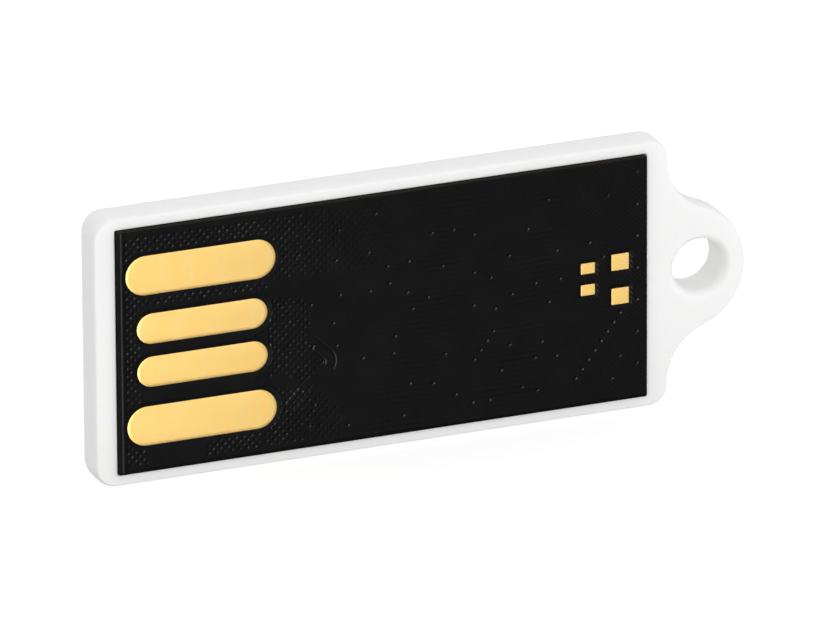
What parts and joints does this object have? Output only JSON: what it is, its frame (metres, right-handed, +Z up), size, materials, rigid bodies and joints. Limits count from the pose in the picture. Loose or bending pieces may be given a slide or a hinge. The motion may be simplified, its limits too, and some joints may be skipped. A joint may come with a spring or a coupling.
{
  "type": "usb stick",
  "caption": "Slim chip-on-board USB stick: a flat black module with gold contacts bonded into a white moulded holder that ends in a rounded lanyard loop.",
  "frame": {"origin": "middle of the bounding box in plan, at the height of the lower long edge that the stick stands on", "axes": "+X along the length from the plug end to the lanyard loop; +Y through the thickness from the contact side to the plain back; +Z up across the width, with the stick standing on a long edge"},
  "size_m": [0.0306, 0.0024, 0.0125],
  "materials": {
    "holder_plastic": "smooth white moulded ABS with a fine satin surface",
    "solder_mask": "black solder mask, semi-gloss, copper relief showing through",
    "gold": "gold plate over nickel, soft satin",
    "copper": "etched copper foil",
    "laminate": "dark resin laminate with a cut edge",
    "mould_compound": "black epoxy moulding, fine matt grain",
    "silicon": "polished silicon die",
    "die_film": "die-attach film",
    "ceramic": "fired tan ceramic",
    "resistor_body": "dark glazed ceramic",
    "tin": "bright tin plate",
    "adhesive": "translucent double-sided film"
  },
  "bodies": {
    "root": {"adhesive_film": "adhesive", "back_copper_pour": "copper", "back_solder_mask": "solder_mask", "bond_wire_bus_1": "gold", "bond_wire_bus_2": "gold", "bond_wire_bus_3": "gold", "bond_wire_bus_4": "gold", "bond_wire_memory_lower_1": "gold", "bond_wire_memory_lower_2": "gold", "bond_wire_memory_lower_3": "gold", "bond_wire_memory_lower_4": "gold", "bond_wire_memory_upper_1": "gold", "bond_wire_memory_upper_2": "gold", "bond_wire_memory_upper_3": "gold", "bond_wire_memory_upper_4": "gold", "bond_wire_usb_1": "gold", "bond_wire_usb_2": "gold", "bond_wire_usb_3": "gold", "bond_wire_usb_4": "gold", "contact_data_minus": "gold", "contact_data_plus": "gold", "contact_ground": "gold", "contact_vbus": "gold", "controller_capacitor_body": "ceramic", "controller_capacitor_end_cap": "tin", "controller_capacitor_start_cap": "tin", "controller_die": "silicon", "controller_die_attach_film": "die_film", "crystal_base": "ceramic", "crystal_lid": "tin", "data_minus_resistor_body": "resistor_body", "data_minus_resistor_end_cap": "tin", "data_minus_resistor_start_cap": "tin", "data_plus_resistor_body": "resistor_body", "data_plus_resistor_end_cap": "tin", "data_plus_resistor_start_cap": "tin", "front_copper_pour": "copper", "front_solder_mask": "solder_mask", "holder": "holder_plastic", "laminate_core": "laminate", "memory_capacitor_body": "ceramic", "memory_capacitor_end_cap": "tin", "memory_capacitor_start_cap": "tin", "memory_die_lower": "silicon", "memory_die_lower_attach_film": "die_film", "memory_die_upper": "silicon", "memory_die_upper_attach_film": "die_film", "mould_compound": "mould_compound", "supply_capacitor_body": "ceramic", "supply_capacitor_end_cap": "tin", "supply_capacitor_start_cap": "tin", "test_pad_large_lower": "gold", "test_pad_large_upper": "gold", "test_pad_small_lower": "gold", "test_pad_small_upper": "gold"}
  },
  "joints": []
}
